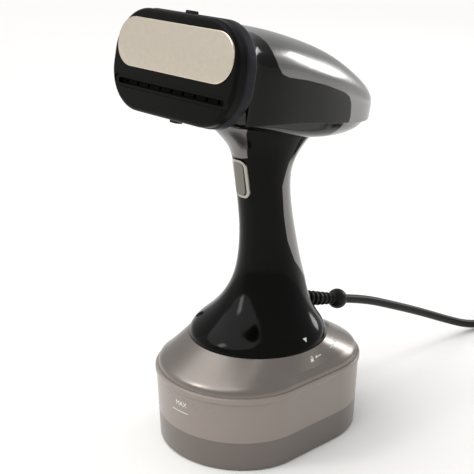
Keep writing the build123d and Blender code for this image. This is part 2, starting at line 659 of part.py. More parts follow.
# ---------------------------------------------------------------- head
def make_head(head_outer):
    """Face, collar, casings and everything inside them."""
    face_outline = RectangleRounded(FACE_WIDTH, FACE_HEIGHT, FACE_CORNER)
    face = slab(face_outline, 0, FACE_DEPTH)
    front_edges = face.faces().sort_by(Axis((0, 0, 0), tuple(BACKWARD)))[0].edges()
    face = fillet(front_edges, 2.6)
    face -= slab(RectangleRounded(FACE_WIDTH - 2 * FACE_WALL, FACE_HEIGHT - 2 * FACE_WALL,
                                  FACE_CORNER - FACE_WALL), FACE_THICK, FACE_DEPTH)
    lift = Pos(0, PLATE_LIFT)
    drop = Pos(0, -SLOT_DROP)
    seat = RectangleRounded(PLATE_LENGTH + 2 * FIT, PLATE_WIDTH + 2 * FIT, PLATE_WIDTH / 2 - 0.4)
    face -= slab(lift * seat, 0, PLATE_SEAT)
    face -= slab(drop * SlotOverall(SLOT_LENGTH, SLOT_WIDTH), 0, FACE_DEPTH)
    groove = slab(drop * SlotOverall(SLOT_LENGTH + 8, SLOT_WIDTH + 4), 0, 0.8)
    face -= groove
    add("nozzle_plate", face)

    plate_outline = RectangleRounded(PLATE_LENGTH, PLATE_WIDTH, PLATE_WIDTH / 2 - 0.5)
    plate = slab(lift * plate_outline, -PLATE_PROUD, PLATE_SEAT)
    front_edges = plate.faces().sort_by(Axis((0, 0, 0), tuple(BACKWARD)))[0].edges()
    add("sole_plate", fillet(front_edges, 0.6))

    insert = slab(drop * SlotOverall(SLOT_LENGTH + 2, 2 * SLOT_WIDTH), FACE_THICK, FACE_THICK + 1.4)
    pitch = (SLOT_LENGTH - 12) / (STEAM_HOLES - 1)
    for k in range(STEAM_HOLES):
        u = -(SLOT_LENGTH - 12) / 2 + k * pitch
        insert -= slab(Pos(u, -SLOT_DROP) * Circle(STEAM_HOLE_RADIUS), 2, 5)
    add("steam_insert", insert)
    manifold = slab(drop * RectangleRounded(SLOT_LENGTH - 4, 12, 5.5), FACE_THICK + 1.4, 13)
    manifold -= slab(drop * RectangleRounded(SLOT_LENGTH - 8, 8, 3.5), FACE_THICK + 1.4, 11.4)
    manifold -= slab(drop * Circle(PIPE_RADIUS), 11, 14)
    add("steam_manifold", manifold)

    collar_outer = RectangleRounded(FACE_WIDTH + 2 * COLLAR_PROUD, FACE_HEIGHT + 2 * COLLAR_PROUD,
                                    FACE_CORNER + COLLAR_PROUD)
    collar = slab(collar_outer, FACE_DEPTH, BODY_START)
    collar = fillet(collar.edges().filter_by(lambda e: abs((e @ 0.5 - FACE).dot(UPWARD)) > 12), 1.4)
    collar -= slab(RectangleRounded(FACE_WIDTH - 8, FACE_HEIGHT - 8, FACE_CORNER - 4), 0, 30)
    for side in (-1, 1):
        centre = side * (FACE_HEIGHT / 2 + COLLAR_PROUD + CLIP_PROUD / 2 - 1)
        clip = slab(Pos(0, centre) * RectangleRounded(CLIP_WIDTH, CLIP_PROUD + 2, 1.0),
                    FACE_DEPTH + 1, FACE_DEPTH + 1 + CLIP_DEPTH)
        collar += clip
    add("collar_ring", collar)

    shell = head_outer - head_form(HEAD_WALL)

    passage = disc(11.0, RIM_Z + 100, RIM_Z + HANDLE_RISE, 0, 12.0)
    shell -= passage

    def side_point(s, v):
        p = FACE + BACKWARD * s + UPWARD * v
        return p.Y, p.Z

    zone = side_prism([side_point(share * HEAD_LENGTH, v) for share, v in COVER_LINE])
    add("head_top_cover", shell & zone)
    add("head_lower_shell", shell - zone)

    boiler_outline = RectangleRounded(BOILER_WIDTH, BOILER_HEIGHT, 8)
    hollow = RectangleRounded(BOILER_WIDTH - 2 * BOILER_WALL, BOILER_HEIGHT - 2 * BOILER_WALL, 4)
    sink = Pos(0, -3)
    s0 = BOILER_START
    s1 = s0 + BOILER_LENGTH
    s2 = s1 + GASKET_THICK
    s3 = s2 + LID_THICK
    v_top = BOILER_HEIGHT / 2 - 3
    element_path = []
    for u, s in ((-ELEMENT_SPREAD, s3 + 8), (-ELEMENT_SPREAD, s0 + 6), (ELEMENT_SPREAD, s0 + 6),
                 (ELEMENT_SPREAD, s3 + 8)):
        element_path.append(FACE + BACKWARD * s + UPWARD * (v_top + 1) + Vector(u, 0, 0))
    path = FilletPolyline(*element_path, radius=10)
    element = sweep(Plane(origin=path @ 0, z_dir=path % 0) * Circle(ELEMENT_RADIUS), path=path)
    block = slab(sink * boiler_outline, s0, s1) - slab(sink * hollow, s0 + BOILER_WALL, s1)
    block -= slab(drop * Circle(PIPE_RADIUS), s0 - 1, s0 + BOILER_WALL + 1)
    gasket = slab(sink * boiler_outline, s1, s2) - slab(sink * hollow, s1, s2)
    lid = slab(sink * boiler_outline, s2, s3)
    lid += slab(Pos(0, -8) * Circle(4.0), s3, s3 + 8)
    lid -= slab(Pos(0, -8) * Circle(2.0), s2 - 1, s3 + 9)
    screws = []
    for u in (-1, 1):
        for v in (-1, 1):
            place = Pos(u * (BOILER_WIDTH / 2 - 5), v * (BOILER_HEIGHT / 2 - 5) - 3)
            shank = slab(place * Circle(1.6), s1 - 10, s3)
            block -= shank
            gasket -= shank
            lid -= shank
            top = slab(place * Circle(3.0), s3, s3 + 2) - slab(place * Rectangle(4.4, 0.8), s3 + 1.2, s3 + 3)
            screws.append(shank + top)
    add("boiler_block", block - element)
    add("boiler_gasket", gasket - element)
    add("boiler_lid", lid - element)
    add("boiler_screws", Compound(screws))
    add("heating_element", element)
    add("thermostat", slab(Pos(0, v_top) * RectangleRounded(18, 11, 2), s0 + 24, s0 + 40)
        - slab(sink * boiler_outline, s0, s3))
    fuse = slab(Pos(-12, v_top + 2.2) * Circle(2.0), s0 + 26, s0 + 40)
    add("thermal_fuse", fuse - parts["thermostat"])
    pipe = slab(drop * (Circle(PIPE_RADIUS) - Circle(PIPE_RADIUS - 1.2)), 11.4, s0 + BOILER_WALL - 0.5)
    add("steam_pipe", pipe)


# ---------------------------------------------------------------- cord
def on_coil(angle):
    """A point on the outer turn of the coil, and the way that the turn runs there."""
    radius = COIL_MID_RADIUS + (COIL_TURNS_ACROSS - 1) * CORD_RADIUS
    a = radians(angle)
    point = (COIL_CENTRE[0] + radius * cos(a), COIL_CENTRE[1] + radius * sin(a), CORD_RADIUS)
    return point, Vector(-sin(a), cos(a), 0)


def lead_route(exit_point, direction):
    """Hand-laid points of the free cord from the strain relief to its coil."""
    first = exit_point + direction * 24
    entry, _ = on_coil(COIL_ENTRY)
    return [tuple(exit_point), tuple(first), (0.8, 141, 48.0), (2.0, 176, 32.4), (3.4, 208, 17.0),
            (6.5, 232, 6.4), (12, 250, CORD_RADIUS), (21, 264, CORD_RADIUS), (32.5, 274.0, CORD_RADIUS), entry]


def tail_route():
    """Hand-laid points from the coil to the plug, rising to the middle of the plug."""
    leave, _ = on_coil(COIL_LEAVE)
    return [leave, (18.5, 363.0, CORD_RADIUS), (3.0, 368.0, 5.0), (-13.0, 375.5, PLUG_THICK / 2)]


def corner_radii(points):
    """The largest smooth arc that each corner of a route allows."""
    radii = []
    for a, b, c in zip(points, points[1:], points[2:]):
        a, b, c = Vector(*a), Vector(*b), Vector(*c)
        turn = radians((b - a).get_angle(c - b))
        radii.append(0.45 * min((b - a).length, (c - b).length) / tan(turn / 2))
    return radii


def tube(points):
    """A round cord along a route: straight runs joined by tangent arcs."""
    radii = corner_radii(points)
    path = FilletPolyline(*points, radius=radii)
    solid = sweep(Plane(origin=path @ 0, z_dir=path % 0) * Circle(CORD_RADIUS), path=path)
    filled = solid.volume / (pi * CORD_RADIUS ** 2 * path.length)
    print("tube: length %.0f, tightest radius %.0f, volume ratio %.4f" % (path.length, min(radii), filled))
    return solid


def make_cord(exit_point, direction):
    """The lead to the floor, its put-away coil, the tail, and the plug beside the coil."""
    add("cord_lead", tube(lead_route(exit_point, direction)))
    tail = tail_route()
    add("cord_tail", tube(tail))
    half = COIL_TURNS_ACROSS * CORD_RADIUS
    coil = ring(COIL_MID_RADIUS + half, COIL_MID_RADIUS - half, 0, 2 * half)
    coil = fillet(coil.edges(), CORD_RADIUS)
    add("cord_coil", Pos(*COIL_CENTRE, 0) * coil)

    place = Pos(*tail[-1]) * Rot(0, 0, PLUG_HEADING)
    body = Pos(PLUG_LENGTH / 2, 0, 0) * Box(PLUG_LENGTH, PLUG_WIDTH, PLUG_THICK)
    body = fillet(body.edges().filter_by(Axis.X), 5)
    body = fillet(body.faces().sort_by(Axis.X)[0].edges(), 4)
    blades = []
    for side in (-1, 1):
        blades.append(Pos(PLUG_LENGTH + BLADE_LENGTH / 2, side * BLADE_PITCH / 2, 0)
                      * Box(BLADE_LENGTH, BLADE_THICK, BLADE_WIDTH))
    add("plug_body", place * body)
    add("plug_pins", place * Compound(blades))


def main():
    """Builds every piece and writes one STEP file for each."""
    head_outer = head_form()
    make_neck(make_tank())
    bezel, window, mid_z = make_handle(head_outer)
    behind_switch = make_trigger(bezel, window, mid_z)
    make_pump(behind_switch)
    exit_point, direction = make_cord_fittings()
    make_head(head_outer)
    make_cord(exit_point, direction)
    os.makedirs("parts", exist_ok=True)
    for name, shape in parts.items():
        export_step(shape, os.path.join("parts", name + ".step"))
    print(len(parts), "parts written")


main()
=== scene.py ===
import json
import math

import bmesh
import bpy
from mathutils import Matrix, Vector

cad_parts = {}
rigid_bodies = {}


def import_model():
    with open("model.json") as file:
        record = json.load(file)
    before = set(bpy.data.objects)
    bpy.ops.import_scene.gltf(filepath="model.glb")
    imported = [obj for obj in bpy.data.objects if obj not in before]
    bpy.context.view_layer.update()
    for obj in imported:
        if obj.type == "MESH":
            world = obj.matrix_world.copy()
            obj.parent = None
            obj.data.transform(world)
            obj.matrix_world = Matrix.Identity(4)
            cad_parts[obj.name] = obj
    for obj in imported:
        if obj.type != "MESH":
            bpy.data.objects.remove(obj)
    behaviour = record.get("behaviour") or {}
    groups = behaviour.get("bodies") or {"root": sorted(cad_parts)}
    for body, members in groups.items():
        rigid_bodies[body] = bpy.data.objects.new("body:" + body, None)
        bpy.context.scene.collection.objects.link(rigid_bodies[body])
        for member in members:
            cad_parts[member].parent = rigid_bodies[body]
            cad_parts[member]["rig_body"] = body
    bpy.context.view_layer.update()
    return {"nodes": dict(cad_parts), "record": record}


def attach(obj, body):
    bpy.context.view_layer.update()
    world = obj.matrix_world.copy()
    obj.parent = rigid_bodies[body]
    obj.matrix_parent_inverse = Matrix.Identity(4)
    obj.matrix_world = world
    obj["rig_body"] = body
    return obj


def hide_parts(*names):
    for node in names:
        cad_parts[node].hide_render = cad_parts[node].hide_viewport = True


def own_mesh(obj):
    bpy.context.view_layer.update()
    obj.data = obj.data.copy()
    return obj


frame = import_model()
NODES = frame["nodes"]
MM = 0.001


# ---------------------------------------------------------------- view, floor and light
CAMERA_LENS, CAMERA_SENSOR = 84.43, 36.0      # mm
CAMERA_PLACE = (0.49351, -0.47706, 0.37728)
CAMERA_DIP, CAMERA_HEADING = 19.364, 47.125   # degrees below the horizontal, and round from +Y


def add_camera():
    """A long lens, a little above the steamer and off its right-hand front corner."""
    data = bpy.data.cameras.new("camera")
    data.lens = CAMERA_LENS
    data.sensor_width = CAMERA_SENSOR
    camera = bpy.data.objects.new("camera", data)
    camera.location = CAMERA_PLACE
    camera.rotation_euler = (math.radians(90 - CAMERA_DIP), 0, math.radians(CAMERA_HEADING))
    bpy.context.scene.collection.objects.link(camera)
    bpy.context.scene.camera = camera


add_camera()


# ---------------------------------------------------------------- small helpers
def linear(code, alpha=1.0):
    """An sRGB hex colour as linear RGBA."""
    parts = [int(code[i:i + 2], 16) / 255 for i in (1, 3, 5)]
    return tuple(c / 12.92 if c <= 0.04045 else ((c + 0.055) / 1.055) ** 2.4 for c in parts) + (alpha,)


def node(tree, kind, links=None, **settings):
    """Adds a node; settings are its properties or inputs, links feed its inputs from other sockets."""
    made = tree.nodes.new(kind)
    for key, value in settings.items():
        if key.startswith("in_"):
            name = key[3:]
            made.inputs[int(name) if name.isdigit() else name.replace("_", " ")].default_value = value
        else:
            setattr(made, key, value)
    for key, socket in (links or {}).items():
        tree.links.new(socket, made.inputs[key])
    return made


def material(name, **shader):
    """A material with a Principled shader; its constant values sit on the shader's own sockets."""
    made = bpy.data.materials.new(name)
    made.use_nodes = True
    tree = made.node_tree
    principled = next(n for n in tree.nodes if n.type == "BSDF_PRINCIPLED")
    for key, value in shader.items():
        principled.inputs[key.replace("_", " ")].default_value = value
    return made, tree, principled


def new_mesh(name, verts, faces, smooth=True):
    """A mesh object in the scene, in metres."""
    mesh = bpy.data.meshes.new(name)
    mesh.from_pydata([tuple(v) for v in verts], [], faces)
    mesh.update()
    if smooth:
        mesh.shade_smooth()
    made = bpy.data.objects.new(name, mesh)
    bpy.context.scene.collection.objects.link(made)
    return made


def paint(piece, *finishes):
    """Gives a piece its materials."""
    piece.data.materials.clear()
    for finish in finishes:
        piece.data.materials.append(finish)


# ---------------------------------------------------------------- cord
CORD_RADIUS = 3.2
COIL_CENTRE = (26.0, 318.0)
COIL_MID_RADIUS = 35.0
COIL_ENTRY = -60.0
STEPS_A_TURN = 16
#   column and layer of each turn of the coil, in the order that it was wound
COIL_TRACKS = ((1, 0), (0, 0), (-1, 0), (-1, 1), (-1, 2), (0, 2), (1, 2), (1, 1), (1, 0))
COIL_STEPS = 118
CROSSING_STEPS = 2          # steps in which the cord passes from one turn's place to the next
#   the last point of the strain relief, then the free cord down to the floor and along it
LEAD = ((0.0, 85.48, 68.53), (0.0, 108.53, 61.84), (0.8, 141.0, 48.0), (2.0, 176.0, 32.4),
        (3.4, 208.0, 17.0), (6.5, 232.0, 6.4), (12.0, 250.0, 3.2), (21.0, 264.0, 3.2), (32.5, 274.0, 3.2))
TAIL = ((18.5, 363.0, 3.2), (3.0, 368.0, 5.0), (-13.0, 375.5, 9.0))


def coil_points():
    """Points of the wound turns: each turn keeps its place and steps over to the next in one zone."""
    points = []
    for k in range(COIL_STEPS + 1):
        leg = min(k // (STEPS_A_TURN - 1), len(COIL_TRACKS) - 2)
        t = min(1.0, (k - leg * (STEPS_A_TURN - 1)) / CROSSING_STEPS)
        column, layer = (a + t * (b - a) for a, b in zip(COIL_TRACKS[leg], COIL_TRACKS[leg + 1]))
        radius = COIL_MID_RADIUS + 2 * CORD_RADIUS * column
        angle = math.radians(COIL_ENTRY + k * 360 / STEPS_A_TURN)
        points.append((COIL_CENTRE[0] + radius * math.cos(angle),
                       COIL_CENTRE[1] + radius * math.sin(angle),
                       CORD_RADIUS * (1 + 2 * layer)))
    return points


def make_cord(finish, relief):
    """The supply cord as one smooth line from the strain relief to the plug."""
    route = list(LEAD) + coil_points() + list(TAIL)
    curve = bpy.data.curves.new("supply_cord", "CURVE")
    curve.dimensions = "3D"
    curve.resolution_u = 6
    curve.bevel_depth = CORD_RADIUS * MM
    curve.bevel_resolution = 5
    curve.use_fill_caps = True
    spline = curve.splines.new("NURBS")
    spline.points.add(len(route) - 1)
    for point, place in zip(spline.points, route):
        point.co = (place[0] * MM, place[1] * MM, place[2] * MM, 1)
    spline.order_u = 3
    spline.use_endpoint_u = True
    cord = bpy.data.objects.new("supply_cord", curve)
    bpy.context.scene.collection.objects.link(cord)
    curve.materials.append(finish)
    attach(cord, "handle")
    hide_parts("cord_lead", "cord_coil", "cord_tail")


# ---------------------------------------------------------------- finishes
def gloss_black():
    """Polished black ABS: near black, its reflections sharp but held faint, broken by swirl marks."""
    made, tree, shader = material("polished_black_abs", Base_Color=linear("#050504"), IOR=1.5,
                                  Specular_IOR_Level=0.1)
    place = node(tree, "ShaderNodeTexCoord")
    swirl = node(tree, "ShaderNodeTexNoise", {"Vector": place.outputs["Object"]},
                 in_Scale=90.0, in_Detail=4.0)
    rough = node(tree, "ShaderNodeMapRange", {"Value": swirl.outputs["Fac"]}, in_3=0.08, in_4=0.15)
    tree.links.new(rough.outputs["Result"], shader.inputs["Roughness"])
    wave = node(tree, "ShaderNodeTexNoise", {"Vector": place.outputs["Object"]},
                in_Scale=28.0, in_Detail=1.0)
    bump = node(tree, "ShaderNodeBump", {"Height": wave.outputs["Fac"]},
                in_Strength=0.05, in_Distance=0.0004)
    tree.links.new(bump.outputs["Normal"], shader.inputs["Normal"])
    return made


def grained(name, dark, light, scale, rough, bump_strength, **shader_values):
    """A moulded or cast finish whose tone, gloss and, if it has any, relief vary with one grain."""
    made, tree, shader = material(name, **shader_values)
    place = node(tree, "ShaderNodeTexCoord")
    grain = node(tree, "ShaderNodeTexNoise", {"Vector": place.outputs["Object"]},
                 in_Scale=scale, in_Detail=3.0)
    tone = node(tree, "ShaderNodeMix", {"Factor": grain.outputs["Fac"]}, data_type="RGBA",
                in_6=linear(dark), in_7=linear(light))
    tree.links.new(tone.outputs[2], shader.inputs["Base Color"])
    spread = node(tree, "ShaderNodeMapRange", {"Value": grain.outputs["Fac"]}, in_3=rough[0], in_4=rough[1])
    tree.links.new(spread.outputs["Result"], shader.inputs["Roughness"])
    if bump_strength:
        bump = node(tree, "ShaderNodeBump", {"Height": grain.outputs["Fac"]}, in_Strength=bump_strength,
                    in_Distance=0.0001)
        tree.links.new(bump.outputs["Normal"], shader.inputs["Normal"])
    return made


FINISH = {
    "gloss_black": gloss_black(),
    # heat-proof PPS moulding: satin black with a fine moulded grain of about 0.4 mm
    "satin_black": grained("moulded_black_pps", "#060504", "#0A0908", 2500, (0.30, 0.42), 0.2, IOR=1.5,
                           Specular_IOR_Level=0.08),
    # steel behind the slot, painted near black as the shade inside the slot (its real finish isn't known):
    # it gives back almost no light
    "slot_shade_black": grained("steel_painted_slot_shade", "#030303", "#060505", 1800, (0.55, 0.7), 0.2, IOR=1.5,
                         Specular_IOR_Level=0.04),
    # soft-touch elastomer: a dull blue-grey black that holds no reflection
    "collar": grained("soft_touch_elastomer", "#0F1016", "#14151C", 1400, (0.42, 0.55), 0.2, IOR=1.5,
                      Specular_IOR_Level=0.2),
    # metallic lacquer over ABS: fine aluminium flake under a clear coat
    "grey_lacquer": grained("titanium_lacquer", "#686766", "#787776", 3800, (0.20, 0.28), 0.08,
                            Metallic=0.9, Coat_Weight=0.2, Coat_Roughness=0.06),
    # satin nickel plating over ABS: a soft grey gloss
    "satin_silver": grained("satin_nickel_plate", "#9C9890", "#B0ACA3", 2200, (0.18, 0.26), 0.06,
                            Metallic=1.0),
    # the same plating, painted darker on the moving key as the shade where it sits inside the bezel
    "silver_painted_shade": grained("nickel_plate_painted_shade", "#6F6C67", "#7E7B75", 2200, (0.22, 0.30), 0.06,
                           Metallic=1.0),
    # stainless sole, polished and slightly warm
    "sole_steel": grained("polished_sole_steel", "#CFC4B4", "#D6CCBD", 420, (0.20, 0.27), 0.03,
                          Metallic=1.0),
    # bright drawn steel of fasteners and springs
    "steel": grained("drawn_steel", "#8F8F8D", "#B4B4B1", 1800, (0.28, 0.45), 0.1, Metallic=1.0),
    # die-cast aluminium: dull, faintly mottled
    "die_cast": grained("die_cast_aluminium", "#9A9A98", "#B2B2B0", 700, (0.45, 0.62), 0.3, Metallic=1.0),
    # smoked SAN, drawn opaque: taupe, with soft flow marks about 17 mm across
    "smoke": grained("smoked_san", "#8C827B", "#918780", 60, (0.26, 0.30), 0, IOR=1.57,
                     Specular_IOR_Level=0.4),
    # the same smoked plastic, darker where the wall is doubled at the foot
    "smoke_dark": grained("smoked_dark_san", "#6B635E", "#6F6762", 60, (0.28, 0.32), 0, IOR=1.57,
                          Specular_IOR_Level=0.4),
    # smoked SAN with pearl flake: light and dark slide over it as over brushed metal
    "smoke_pearl": grained("smoked_pearl_san", "#7B746F", "#837C76", 60, (0.26, 0.32), 0, IOR=1.57,
                           Metallic=0.75),
    # silicone rubber: milky, a little translucent
    "silicone": grained("silicone_rubber", "#BBB3A8", "#CFC8BE", 900, (0.5, 0.65), 0.15, IOR=1.41),
    # flexible PVC: satin black with a slight drag texture
    "cable_black": grained("flexible_pvc", "#090807", "#0F0E0D", 1600, (0.34, 0.46), 0.25, IOR=1.5,
                           Specular_IOR_Level=0.2),
    # enamelled copper winding
    "copper": grained("enamelled_copper", "#8E4A22", "#B4693A", 2600, (0.3, 0.45), 0.5, Metallic=1.0),
    # natural nylon: off-white with a waxy sheen
    "insulator": grained("natural_nylon", "#CFCABD", "#DDD8CB", 800, (0.42, 0.52), 0.1, IOR=1.53),
    # plain brass
    "brass": grained("turned_brass", "#A98642", "#C6A45A", 1500, (0.25, 0.4), 0.1, Metallic=1.0),
    # pad-printed white ink: matt, a little uneven
    "ink": grained("pad_print_ink", "#D9D9D6", "#EBEBE8", 1500, (0.5, 0.6), 0.1, IOR=1.5),
}
#   pieces whose finish differs from the rest of their slot
# the steam insert takes a near-black finish painted as the shade in its slot
# the trigger takes the plating painted darker as the shade inside its bezel
OWN_FINISH = {"tank_top": "smoke_pearl", "trigger": "silver_painted_shade", "steam_insert": "slot_shade_black"}


def carry_over():
    """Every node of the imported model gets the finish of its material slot."""
    slots = {part["node"]: part["material_slot"] for part in frame["record"]["subparts"]}
    for name, piece in NODES.items():
        paint(piece, FINISH[OWN_FINISH.get(name, slots[name])])
    return slots


SLOT_OF = carry_over()


# ---------------------------------------------------------------- strain relief
RELIEF_DROP = math.radians(16.2)      # below the horizontal
RELIEF_ALONG = 48.635                 # from the inside of the handle's wall to the cord's exit
RELIEF_WALL = 2.4
RELIEF_ROOT, RELIEF_NECK, RELIEF_BALL = 6.0, 4.4, 7.2
RELIEF_FLANGE = 8.0
RIB_COUNT, RIB_PITCH, RIB_THICK = 7, 4.9, 1.35
RIB_START, RIB_SINK, RIB_TAPER = 5.9, 0.15, 0.048
SLEEVE_LENGTH = 40.0        # from the outside of the wall to the middle of the ball
SLEEVE_COLLAR, CORE_STEP, NECK_STEP = 4.0, 1.4, 1.0
BALL_FROM, BALL_SWEEP, BALL_STEPS = 38, 112, 14
LATHE_STEPS = 56
WIRE_STEPS = 14


def lathe(name, profile):
    """A closed solid of revolution about Z; its profile starts and ends on the axis, in mm."""
    turns = [2 * math.pi * k / LATHE_STEPS for k in range(LATHE_STEPS)]
    ring = [[(r * math.cos(a) * MM, r * math.sin(a) * MM, z * MM) for a in turns]
            for r, z in profile[1:-1]]
    verts = [(0, 0, profile[0][1] * MM)] + [v for row in ring for v in row] + [(0, 0, profile[-1][1] * MM)]
    last = len(verts) - 1
    faces = []
    for k in range(LATHE_STEPS):
        j = (k + 1) % LATHE_STEPS
        faces.append((0, 1 + j, 1 + k))
        for row in range(len(ring) - 1):
            low, high = 1 + row * LATHE_STEPS, 1 + (row + 1) * LATHE_STEPS
            faces.append((low + k, low + j, high + j, high + k))
        top = 1 + (len(ring) - 1) * LATHE_STEPS
        faces.append((top + k, top + j, last))
    return new_mesh(name, verts, faces)


def rib_tree(finish):
    """Rings set at an even pitch up the Z axis, each smaller by the same share, joined to the core."""
    tree = bpy.data.node_groups.new("relief_ribs", "GeometryNodeTree")
    face = tree.interface
    face.new_socket("Geometry", in_out="INPUT", socket_type="NodeSocketGeometry")
    face.new_socket("Count", in_out="INPUT", socket_type="NodeSocketInt")
    for name in ("Start", "Pitch", "Radius", "Thickness", "Taper"):
        face.new_socket(name, in_out="INPUT", socket_type="NodeSocketFloat")
    face.new_socket("Geometry", in_out="OUTPUT", socket_type="NodeSocketGeometry")
    given = node(tree, "NodeGroupInput").outputs
    start = node(tree, "ShaderNodeCombineXYZ", {"Z": given["Start"]})
    step = node(tree, "ShaderNodeCombineXYZ", {"Z": given["Pitch"]})
    line = node(tree, "GeometryNodeMeshLine", {"Count": given["Count"], "Start Location": start.outputs[0],
                                               "Offset": step.outputs[0]}, mode="OFFSET")
    hoop = node(tree, "GeometryNodeCurvePrimitiveCircle", {"Radius": given["Radius"]},
                in_Resolution=LATHE_STEPS)
    wire = node(tree, "GeometryNodeCurvePrimitiveCircle", {"Radius": given["Thickness"]},
                in_Resolution=WIRE_STEPS)
    rib = node(tree, "GeometryNodeCurveToMesh", {"Curve": hoop.outputs[0],
                                                 "Profile Curve": wire.outputs[0]})
    index = node(tree, "GeometryNodeInputIndex")
    shrink = node(tree, "ShaderNodeMath", {0: index.outputs[0], 1: given["Taper"]}, operation="MULTIPLY")
    share = node(tree, "ShaderNodeMath", {1: shrink.outputs[0]}, operation="SUBTRACT", in_0=1.0)
    size = node(tree, "ShaderNodeCombineXYZ", {"X": share.outputs[0], "Y": share.outputs[0]}, in_Z=1.0)
    ribs = node(tree, "GeometryNodeInstanceOnPoints", {"Points": line.outputs[0],
                                                       "Instance": rib.outputs[0],
                                                       "Scale": size.outputs[0]})
    smooth = node(tree, "GeometryNodeSetShadeSmooth", {0: ribs.outputs[0]})
    both = node(tree, "GeometryNodeJoinGeometry", {0: smooth.outputs[0]})
    tree.links.new(given["Geometry"], both.inputs[0])
    real = node(tree, "GeometryNodeRealizeInstances", {0: both.outputs[0]})
    cover = node(tree, "GeometryNodeSetMaterial", {"Geometry": real.outputs[0]}, in_Material=finish)
    node(tree, "NodeGroupOutput", {0: cover.outputs[0]})
    return tree


def flatten(piece):
    """Replaces a piece's mesh by its evaluated one and takes its modifiers off."""
    bpy.context.view_layer.update()
    shape = piece.evaluated_get(bpy.context.evaluated_depsgraph_get())
    mesh = bpy.data.meshes.new_from_object(shape)
    piece.modifiers.clear()
    piece.data = mesh


def make_relief(finish):
    """The ribbed rubber sleeve that the cord leaves by, with its ball end."""
    neck = RELIEF_WALL + SLEEVE_LENGTH
    turns = [math.radians(BALL_FROM + BALL_SWEEP * k / BALL_STEPS) for k in range(BALL_STEPS + 1)]
    ball = [(RELIEF_BALL * math.sin(a), neck - RELIEF_BALL * math.cos(a)) for a in turns]
    profile = [(0, -2), (RELIEF_FLANGE, -2), (RELIEF_FLANGE, 0), (RELIEF_ROOT, 0),
               (RELIEF_ROOT, SLEEVE_COLLAR), (RELIEF_ROOT - CORE_STEP, SLEEVE_COLLAR + 0.2),
               (RELIEF_NECK - NECK_STEP, neck - 6.5)] + ball + [(0, ball[-1][1])]
    piece = lathe("relief_sleeve", profile)
    paint(piece, finish)
    ribs = piece.modifiers.new("ribs", "NODES")
    ribs.node_group = rib_tree(finish)
    given = {"Count": RIB_COUNT, "Start": RIB_START * MM, "Pitch": RIB_PITCH * MM,
             "Radius": (RELIEF_ROOT - RIB_THICK - RIB_SINK) * MM, "Thickness": RIB_THICK * MM,
             "Taper": RIB_TAPER}
    for item in ribs.node_group.interface.items_tree:
        if item.name in given:
            ribs[item.identifier] = given[item.name]
    flatten(piece)
    along = Vector((0, math.cos(RELIEF_DROP), -math.sin(RELIEF_DROP)))
    start = Vector(LEAD[0]) - along * RELIEF_ALONG
    turn = along.to_track_quat("Z", "X").to_matrix().to_4x4()
    piece.data.transform(Matrix.Translation(start * MM) @ turn)
    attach(piece, "handle")
    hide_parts("strain_relief")
    return piece


make_cord(FINISH["cable_black"], make_relief(FINISH["cable_black"]))


# ---------------------------------------------------------------- smooth casings
CASE_EDGE = 28.0            # degrees at which a casing's fold is a real edge
WIRE_EDGE = 80.0            # the same on a spring, where only the cut ends are
WELD = 1e-6


def smooth_copy(name, angle=CASE_EDGE):
    """A welded copy of a node's mesh, shaded smooth but for its real edges, that stands for it."""
    source = NODES[name]
    mesh = source.data.copy()
    mesh.name = name + "_skin"
    work = bmesh.new()
    work.from_mesh(mesh)
    bmesh.ops.remove_doubles(work, verts=work.verts, dist=WELD)
    bmesh.ops.dissolve_degenerate(work, edges=work.edges, dist=WELD)
    for face in work.faces:
        face.smooth = True
    for edge in work.edges:
        sharp = len(edge.link_faces) != 2 or edge.calc_face_angle(0) > math.radians(angle)
        edge.smooth = not sharp
    work.to_mesh(mesh)
    work.free()
    piece = bpy.data.objects.new(name + "_skin", mesh)
    bpy.context.scene.collection.objects.link(piece)
    paint(piece, FINISH[OWN_FINISH.get(name, SLOT_OF[name])])
    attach(piece, source["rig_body"])
    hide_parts(name)
    return piece


OUTSIDE = ("head_top_cover", "head_lower_shell", "collar_ring", "nozzle_plate", "sole_plate",
           "handle_shell_left", "handle_shell_right", "rear_strip", "cord_exit_panel", "chin_panel",
           "trigger_bezel", "trigger", "tank_top", "tank_body", "tank_base", "lock_ring", "base_plug")
SKINS = {name: smooth_copy(name) for name in OUTSIDE}


# ---------------------------------------------------------------- springs
SPRINGS = {
    # node: joint that closes it, axis, which end stays (0 low, 1 high), share of the length that stays
    "trigger_spring": ("trigger_press", (0, 1, 0), 1, 0.66),
    "pump_spring": ("pump_stroke", (0, 0, 1), 1, 0.68),
}


def make_springs():
    """Smooth copies of the two coil springs, each with a mesh of its own."""
    for name, (joint, axis, end, keep) in SPRINGS.items():
        piece = smooth_copy(name, WIRE_EDGE)
        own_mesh(piece)


make_springs()


# ---------------------------------------------------------------- printed marks
INK_THICK = 0.08
INK_STEP = 0.9             # longest edge of a mark before it is laid on a curved wall
INK_SUNK = 0.3              # share of that thickness below the casing's surface
SPLITS = 3                  # most times that an edge is halved
RAY_START = 0.01            # m outside the casing
ARROW = ((-3.0, 0.0), (-1.2, 1.1), (-1.2, 0.3), (0.9, 0.3), (3.0, 0.3), (3.0, -0.3), (0.9, -0.3),
         (-1.2, -0.3), (-1.2, -1.1))
POINTER = ((-1.7, 1.4), (1.7, 1.4), (0.0, -1.6))


def padlock(lift):
    """Body and shackle of a padlock as outlines; lift raises the shackle clear on one side."""
    body = [(-1.3, -1.9), (1.3, -1.9), (1.3, 0.1), (-1.3, 0.1)]
    turns = [math.pi * k / 8 for k in range(9)]
    outer = [(math.cos(a), 0.9 + lift + math.sin(a)) for a in turns]
    inner = [(0.5 * math.cos(a), 0.9 + lift + 0.5 * math.sin(a)) for a in reversed(turns)]
    shackle = [(1.0, 0.1 + lift)] + outer + [(-1.0, 0.0), (-0.5, 0.0)] + inner + [(0.5, 0.1 + lift)]
    return [body, shackle]


